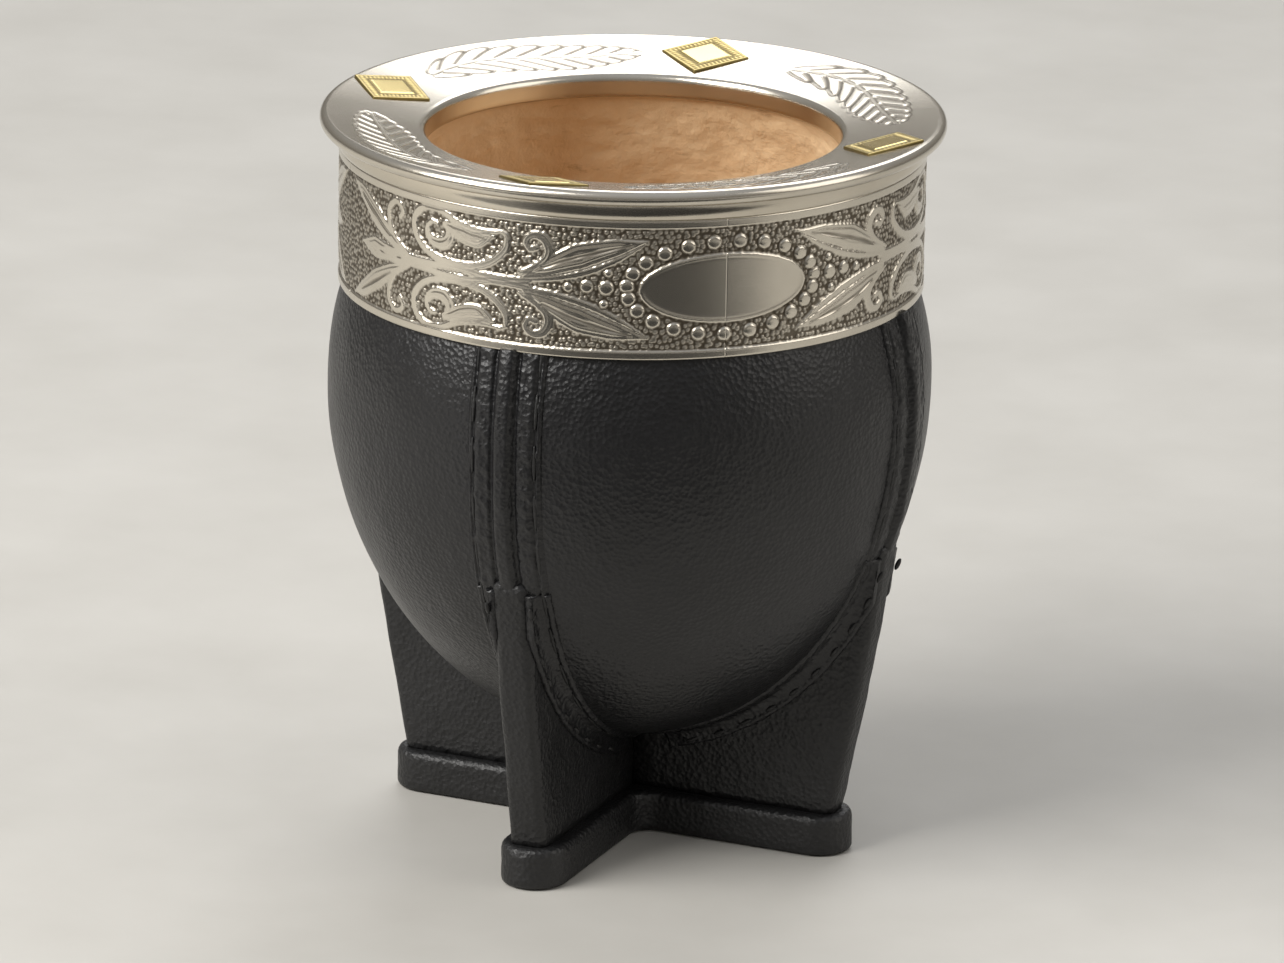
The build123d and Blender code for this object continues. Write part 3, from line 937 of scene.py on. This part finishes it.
def frond_relief(t, r, seed):
    """Engraving at t millimetres along the ring from a frond's middle and radius r."""
    t = t + 0.0
    x = t
    y = r - FROND_MID
    spine_y = 0.9 * np.sin(x / 5.2)
    half = 4.3 * np.clip(1 - (np.abs(x) / 17.5) ** 2.4, 0, 1) ** 0.6
    w = y - spine_y
    leaflet = (np.abs(w) * 0.85 + x * 0.62) % 2.1
    cut = bell(leaflet - 1.05, 0.30) * (np.abs(w) > 0.5)
    lobe = half * (0.86 + 0.14 * np.abs(np.cos(math.pi * (x * 0.62 + np.abs(w) * 0.85) / 2.1)))
    inside = step(lobe - np.abs(w), 0.10)
    line = bell(lobe - np.abs(w), 0.20)
    spine = bell(w, 0.28) * (np.abs(x) < 17)
    mark = np.clip(cut * inside + line * (np.abs(x) < 17.3) + 0.7 * spine, 0, 1)
    return -0.16 * mark, 1 - 0.85 * mark, inside


def make_collar_top():
    under = plate_height(BAND_INSIDE) - 0.8
    columns = 880
    top = [(r, plate_height(r)) for r in np.linspace(RIM_MID_R, PLATE_IN, 56)]
    lip = [(PLATE_IN - LIP_ROUND * math.sin(a), plate_height(PLATE_IN) - LIP_ROUND * (1 - math.cos(a)))
           for a in np.radians(np.linspace(15, 90, 6))]
    down = [(LIP_R, z) for z in np.linspace(lip[-1][1] - 0.6, LIP_LOW + 0.25, 4)]
    back = [(LIP_R + 0.2, LIP_LOW), (LIP_R + 0.6, LIP_LOW), (LIP_R + 0.8, LIP_LOW + 0.3),
            (LIP_R + 0.8, plate_height(PLATE_IN) - 1.2), (PLATE_IN, plate_height(PLATE_IN) - 0.8),
            (BAND_INSIDE, under), (RIM_MID_R - 1.1, plate_height(RIM_MID_R - 1.1) - 0.85)]
    rim = [(RIM_MID_R + BEAD_R * math.sin(a), RIM_MID_Z - BEAD_R * math.cos(a))
           for a in np.radians(np.linspace(-60, 172, 17))]
    outline = np.array(top + lip + down + back + rim)
    rows_top = len(top)
    verts, faces = lathe(outline, columns)
    grid = verts.reshape(len(outline), columns, 3)
    depth = np.ones((len(outline), columns))
    angle = np.degrees(np.linspace(0, TAU, columns, endpoint=False))
    r = outline[:rows_top, 0][:, None]
    for k in range(4):
        turn = (angle - (45 + 4 + 90 * k) + 180) % 360 - 180
        near = np.abs(turn) < 32
        t = np.radians(turn[near])[None, :] * FROND_MID
        dz, shade, _ = frond_relief(t + 0 * r, r + 0 * t, k)
        grid[:rows_top, near, 2] += dz
        depth[:rows_top, near] = shade
    return add_piece("collar_top", grid.reshape(-1, 3), faces, CHASED, ["collar_plate"],
                     attributes={"depth": depth.reshape(-1)})


make_collar_top()


def make_moulding():
    low, high = BAND_HIGH + 0.02, plate_height(BAND_INSIDE) - 0.85
    mid, half = (low + high) / 2, (high - low) / 2
    curve = [(BAND_R + 0.45 * math.cos(a) + 0.02, mid + half * math.sin(a))
             for a in np.linspace(-1.45, 1.45, 14)]
    foot = [(BAND_INSIDE, low), (BAND_R - 0.1, low)]
    head = [(BAND_R - 0.1, high), (BAND_INSIDE, high)]
    outline = np.array(foot + curve + head)
    verts, faces = lathe(outline, 360)
    return add_piece("collar_moulding_ring", verts, faces, SILVER, ["collar_moulding"])


make_moulding()

# %% [markdown]
# ## Gold rhombuses
#
# Each plaque is a thin plate with a chased border round a smooth raised field.

# %% Plaques
PLAQUE_LEADS = [4.5, 3.5, 7.5, 1.5]
PLAQUE_R = (RIM_MID_R + PLATE_IN) / 2 + 0.4
PLAQUE_LONG = 11.7 / 2
PLAQUE_WIDE = 13.0 / 2
PLAQUE_FIELD = 0.6
PLAQUE_SHEET = 0.22


def make_plaque(number, turn):
    count = 61
    s = np.linspace(-1, 1, count)
    a, b = np.meshgrid(s, s)
    x = (a + b) / 2 * PLAQUE_WIDE
    y = (a - b) / 2 * PLAQUE_LONG
    ring = np.maximum(np.abs(a), np.abs(b))
    slope = PLATE_FALL / (RIM_MID_R - PLATE_IN)
    field = step(PLAQUE_FIELD - ring, 0.02)
    run = np.where(np.abs(a) > np.abs(b), b, a)
    beads = np.abs(np.sin(run * math.pi * 7))
    border = 0.04 + 0.13 * beads * bell(ring - 0.80, 0.10) + 0.09 * bell(ring - 0.955, 0.035)
    height = np.where(ring < 0.62, 0.0, border)
    height = height * (1 - field) + (0.16 + 0.03 * (1 - ring**2)) * field
    z = plate_height(PLAQUE_R + y) + PLAQUE_SHEET + height
    top = np.stack([x, -(PLAQUE_R + y), z], -1)
    bottom = np.stack([x, -(PLAQUE_R + y), plate_height(PLAQUE_R + y) + 0.02 + 0 * z], -1)
    verts, faces = closed_strip(top, bottom)
    polish = 0.08 + 0.65 * beads * bell(ring - 0.80, 0.10) + 0.6 * bell(ring - 0.955, 0.035)
    depth = np.clip(field + (1 - field) * polish, 0, 1)
    depth = np.concatenate([depth.reshape(-1), np.full(count * count, 0.3)])
    return add_piece(f"plaque_{number}_gold", turned(verts, turn), faces, GOLD, [f"plaque_{number}"],
                     attributes={"depth": depth})


for number, (turn, lead) in enumerate(zip(LEG_TURNS, PLAQUE_LEADS), 1):
    make_plaque(number, turn + lead)

# %% [markdown]
# ## Stitches
#
# The thread lies on the leather in short sloping lengths.  Geometry Nodes turn a seam line into
# evenly spaced points, put one small bead of thread on each, and join them into one mesh.

# %% Stitch tree
def stitch_tree():
    """A node group: seam curve in, thread beads out."""
    tree = bpy.data.node_groups.new("stitch_row", "GeometryNodeTree")
    face = tree.interface
    face.new_socket("Geometry", in_out="INPUT", socket_type="NodeSocketGeometry")
    for label, value in (("Pitch", 0.0034), ("Length", 0.0022), ("Thickness", 0.0004)):
        face.new_socket(label, in_out="INPUT", socket_type="NodeSocketFloat").default_value = value
    face.new_socket("Thread", in_out="INPUT", socket_type="NodeSocketMaterial")
    face.new_socket("Geometry", in_out="OUTPUT", socket_type="NodeSocketGeometry")
    nodes, links = tree.nodes, tree.links
    source = nodes.new("NodeGroupInput")
    result = nodes.new("NodeGroupOutput")
    spread = nodes.new("GeometryNodeResampleCurve")
    spread.mode = "LENGTH"
    to_points = nodes.new("GeometryNodeCurveToPoints")
    to_points.mode = "EVALUATED"
    bead = nodes.new("GeometryNodeMeshUVSphere")
    bead.inputs["Segments"].default_value = 8
    bead.inputs["Rings"].default_value = 6
    bead.inputs["Radius"].default_value = 1.0
    size = nodes.new("ShaderNodeCombineXYZ")
    half = nodes.new("ShaderNodeMath")
    half.operation = "MULTIPLY"
    half.inputs[1].default_value = 0.5
    shape = nodes.new("GeometryNodeTransform")
    place = nodes.new("GeometryNodeInstanceOnPoints")
    real = nodes.new("GeometryNodeRealizeInstances")
    paint = nodes.new("GeometryNodeSetMaterial")
    links.new(source.outputs["Geometry"], spread.inputs["Curve"])
    links.new(source.outputs["Pitch"], spread.inputs["Length"])
    links.new(spread.outputs["Curve"], to_points.inputs["Curve"])
    links.new(source.outputs["Length"], half.inputs[0])
    links.new(half.outputs[0], size.inputs["Z"])
    links.new(source.outputs["Thickness"], size.inputs["X"])
    links.new(source.outputs["Thickness"], size.inputs["Y"])
    links.new(bead.outputs["Mesh"], shape.inputs["Geometry"])
    links.new(size.outputs[0], shape.inputs["Scale"])
    links.new(to_points.outputs["Points"], place.inputs["Points"])
    links.new(to_points.outputs["Rotation"], place.inputs["Rotation"])
    links.new(shape.outputs["Geometry"], place.inputs["Instance"])
    links.new(place.outputs["Instances"], real.inputs["Geometry"])
    links.new(real.outputs["Geometry"], paint.inputs["Geometry"])
    links.new(source.outputs["Thread"], paint.inputs["Material"])
    links.new(paint.outputs["Geometry"], result.inputs["Geometry"])
    return tree


STITCHES = stitch_tree()


def seam_curve(name, lines):
    """Poly curves along several seam lines, in metres."""
    curve = bpy.data.curves.new(name, "CURVE")
    curve.dimensions = "3D"
    for points in lines:
        spline = curve.splines.new("POLY")
        spline.points.add(len(points) - 1)
        spline.points.foreach_set("co", np.column_stack([points * MM, np.ones(len(points))]).ravel())
    return curve


def run_stitches(name, lines, pitch, length, thickness):
    """Evaluates the stitch tree along the lines and returns a plain mesh piece."""
    seam = bpy.data.objects.new(name + "_seam", seam_curve(name + "_seam", lines))
    bpy.context.collection.objects.link(seam)
    modifier = seam.modifiers.new("stitches", "NODES")
    modifier.node_group = STITCHES
    values = {"Pitch": pitch * MM, "Length": length * MM, "Thickness": thickness * MM, "Thread": THREAD}
    for item in STITCHES.interface.items_tree:
        if item.in_out == "INPUT" and item.name in values:
            modifier[item.identifier] = values[item.name]
    ready = seam.evaluated_get(bpy.context.evaluated_depsgraph_get())
    mesh = bpy.data.meshes.new_from_object(ready)
    mesh.name = name
    bpy.data.objects.remove(seam)
    mesh.shade_smooth()
    piece = bpy.data.objects.new(name, mesh)
    bpy.context.collection.objects.link(piece)
    return dress(piece, THREAD, [])


def seam_line(across, height, low, high, step_mm=0.8):
    line, normal, _ = body_line(0.0, BAND_LOW - 0.05, step_mm)
    keep = (line[:, 1] > low) & (line[:, 1] < high) & (line[:, 0] > 9)
    sideways = np.full((1, 1), float(across))
    grid = on_body(line[keep], normal[keep], sideways, np.full((keep.sum(), 1), height))
    return grid[:, 0, :]


for number, turn in enumerate(LEG_TURNS, 1):
    rows = [turned(seam_line(side * STITCH_ROW, 0.28, 14.0, BAND_LOW - 0.4), turn) for side in (1, -1)]
    run_stitches(f"rib_{number}_stitches", rows, STITCH_PITCH, STITCH_LENGTH, 0.3)
    faces_rows = [turned(seam_line(side * 3.3, 2.2, 16.0, FIN_TOP - 2), turn) for side in (1, -1)]
    run_stitches(f"fin_{number}_stitches", faces_rows, 4.2, 2.0, 0.36)

# %% [markdown]
# ## Floor, light and camera
#
# A pale matt floor, a large soft light high on the left, a weaker one on the right and a dim
# even sky.  The camera looks slightly down on the cup with a long lens.

# %% Floor
def make_floor():
    bpy.ops.mesh.primitive_plane_add(size=6.0, location=(0, 0, -0.0002))
    floor = bpy.context.object
    floor.name = "floor"
    material, tree, shader = new_material("pale_floor")
    colour = ramp(tree, noise(tree, 30, 6), [(0.3, (0.47, 0.455, 0.42)), (0.7, (0.52, 0.505, 0.47))])
    tree.links.new(colour, shader.inputs["Base Color"])
    shader.inputs["Roughness"].default_value = 0.6
    floor.data.materials.append(material)


make_floor()

# %% Lights
CAMERA_TURN = 23.44


def add_light(name, turn, elevation, distance, size, power, colour=(1, 1, 1)):
    """A square area light aimed at the cup; turn is measured from the camera's side."""
    a = math.radians(CAMERA_TURN + turn)
    e = math.radians(elevation)
    target = Vector((0, 0, 0.05))
    place = target + distance * Vector((math.sin(a) * math.cos(e), -math.cos(a) * math.cos(e), math.sin(e)))
    data = bpy.data.lights.new(name, "AREA")
    data.size = size
    data.energy = power
    data.color = colour
    lamp = bpy.data.objects.new(name, data)
    lamp.location = place
    lamp.rotation_euler = (target - place).to_track_quat("-Z", "Y").to_euler()
    bpy.context.collection.objects.link(lamp)
    return lamp


add_light("key", -62, 40, 1.1, 0.7, 15, (1.0, 0.98, 0.95))
add_light("side", 75, 28, 1.3, 0.9, 4, (1.0, 0.96, 0.9))
add_light("back", 170, 45, 1.3, 0.8, 6)


def add_flag():
    """A black card low in front of the cup, seen only in reflections, as a studio would set it."""
    bpy.ops.mesh.primitive_plane_add(size=1.0)
    flag = bpy.context.object
    flag.name = "flag"
    flag.scale = (0.55, 0.5, 1)
    a = math.radians(CAMERA_TURN - 8)
    flag.location = (0.40 * math.sin(a), -0.40 * math.cos(a), 0.004)
    flag.rotation_euler = (0, 0, a)
    material, tree, shader = new_material("flag_black")
    shader.inputs["Base Color"].default_value = (0.01, 0.01, 0.01, 1)
    flag.data.materials.append(material)
    flag.visible_camera = False
    flag.visible_diffuse = False
    flag.visible_shadow = False


add_flag()


def make_sky():
    """An even sky, dim near the horizon and brighter overhead."""
    world = bpy.data.worlds.new("studio")
    bpy.context.scene.world = world
    world.use_nodes = True
    tree = world.node_tree
    where = tree.nodes.new("ShaderNodeTexCoord")
    split = tree.nodes.new("ShaderNodeSeparateXYZ")
    tree.links.new(where.outputs["Generated"], split.inputs["Vector"])
    colour = ramp(tree, span(tree, split.outputs["Z"], 0, 1, -0.1, 1.0),
                  [(0.0, (0.20, 0.18, 0.155)), (0.25, (0.34, 0.32, 0.29)), (1.0, (0.62, 0.64, 0.68))])
    tree.links.new(colour, tree.nodes["Background"].inputs["Color"])
    tree.nodes["Background"].inputs["Strength"].default_value = 0.75


make_sky()

# %% Camera
CAMERA_LENS = 229.0
CAMERA_BACK = 1161.7
CAMERA_DROP = 17.42
CAMERA_ROLL = 0.947
CAMERA_AIM = (2.041, 0.0, 50.105)


def make_camera():
    drop, roll = math.radians(CAMERA_DROP), math.radians(CAMERA_ROLL)
    forward = Vector((0, math.cos(drop), -math.sin(drop)))
    side = Vector((1, 0, 0))
    up = Vector((0, math.sin(drop), math.cos(drop)))
    right = math.cos(roll) * side + math.sin(roll) * up
    top = math.cos(roll) * up - math.sin(roll) * side
    place = (Vector(CAMERA_AIM) - CAMERA_BACK * forward) * MM
    look = Matrix((right, top, -forward)).transposed().to_4x4()
    spin = Matrix.Rotation(math.radians(CAMERA_TURN), 4, "Z")
    data = bpy.data.cameras.new("camera")
    data.sensor_width = 36
    data.lens = CAMERA_LENS
    data.clip_start = 0.05
    data.clip_end = 20
    camera = bpy.data.objects.new("camera", data)
    camera.matrix_world = spin @ Matrix.Translation(place) @ look
    bpy.context.collection.objects.link(camera)
    bpy.context.scene.camera = camera


make_camera()
bpy.context.scene.view_settings.view_transform = "Standard"
